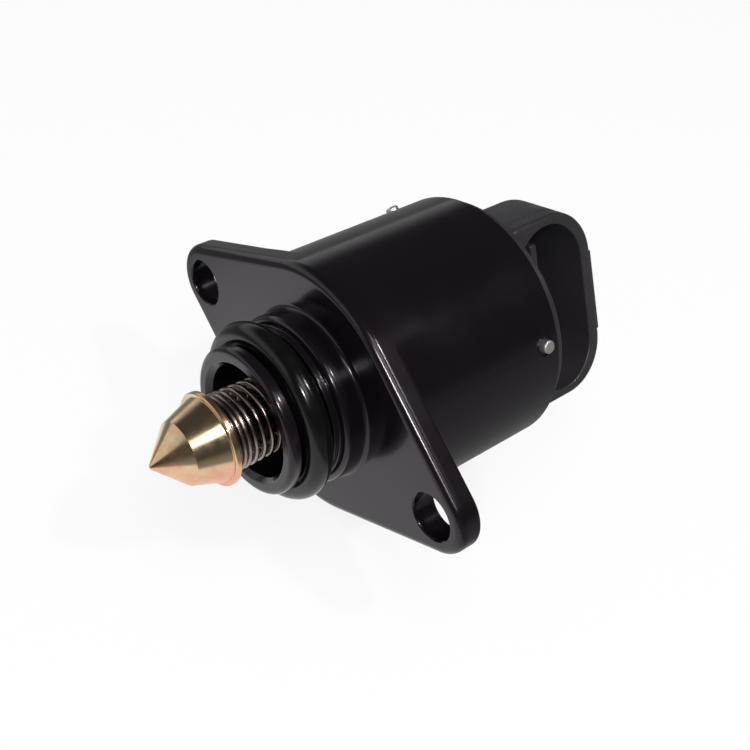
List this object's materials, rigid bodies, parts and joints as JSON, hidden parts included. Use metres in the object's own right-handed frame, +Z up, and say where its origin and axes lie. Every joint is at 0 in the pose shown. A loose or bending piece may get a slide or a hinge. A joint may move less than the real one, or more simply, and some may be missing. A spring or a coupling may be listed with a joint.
{
  "type": "idle air control valve",
  "caption": "Stepper idle air control valve with a two-hole flange, a sealed spigot with a sprung conical pintle, a round can and an oval plug socket.",
  "frame": {"origin": "centre of the flange's mounting face, on the motor axis", "axes": "+X along the motor axis to the rear, +Y along the two bolt holes, +Z up"},
  "size_m": [0.0725, 0.061, 0.0379],
  "materials": {
    "cast_housing": "black coat, glossy",
    "seal_rubber": "black, slightly shiny",
    "zinc_plate": "yellow zinc with pink and green tints",
    "screw_steel": "plain turned",
    "spring_steel": "dark drawn wire",
    "bearing_steel": "ground",
    "cage_brass": "pressed",
    "hub_plastic": "natural moulding",
    "magnet": "bonded ferrite",
    "bush_bronze": "sintered",
    "pole_steel": "stamped, bright zinc",
    "bobbin_plastic": "natural moulding",
    "copper_wire": "enamelled",
    "black_moulding": "black glass-filled moulding, satin",
    "pin_steel": "bright",
    "terminal_tin": "tin plated"
  },
  "bodies": {
    "housing": {"valve_housing": "cast_housing", "o_ring": "seal_rubber", "pintle_spring": "spring_steel", "spring_seat": "screw_steel", "bearing_outer_race": "bearing_steel", "rear_bush": "bush_bronze", "front_pole_cup": "pole_steel", "front_pole_plate": "pole_steel", "rear_pole_plate": "pole_steel", "rear_pole_cup": "pole_steel", "front_bobbin": "bobbin_plastic", "front_winding": "copper_wire", "rear_bobbin": "bobbin_plastic", "rear_winding": "copper_wire", "connector_cap": "black_moulding", "cap_seal": "seal_rubber", "retaining_pins": "pin_steel", "terminal_a": "terminal_tin", "terminal_b": "terminal_tin", "terminal_c": "terminal_tin", "terminal_d": "terminal_tin"},
    "rotor": {"bearing_inner_race": "bearing_steel", "rotor_hub": "hub_plastic", "rotor_magnet": "magnet"},
    "ball_set": {"bearing_balls": "bearing_steel", "ball_cage": "cage_brass"},
    "pintle_rod": {"pintle": "zinc_plate", "lead_screw": "screw_steel"}
  },
  "joints": [
    {"name": "rotor_spin", "type": "hinge", "parent": "housing", "child": "rotor", "pos_m": [0.012, 0, 0], "axis": [1, 0, 0], "range_deg": [-2304, 0]},
    {"name": "pintle_slide", "type": "slide", "parent": "housing", "child": "pintle_rod", "axis": [1, 0, 0], "range_m": [0, 0.00641], "deforming": ["pintle_spring"]},
    {"name": "ball_roll", "type": "hinge", "parent": "housing", "child": "ball_set", "pos_m": [0.0049, 0, 0], "axis": [1, 0, 0], "range_deg": [-925, 0]}
  ],
  "couplings": [
    {"joint": "pintle_slide", "follows": "rotor_spin", "m_per_rad": -0.00015915},
    {"joint": "ball_roll", "follows": "rotor_spin", "ratio": 0.4}
  ]
}
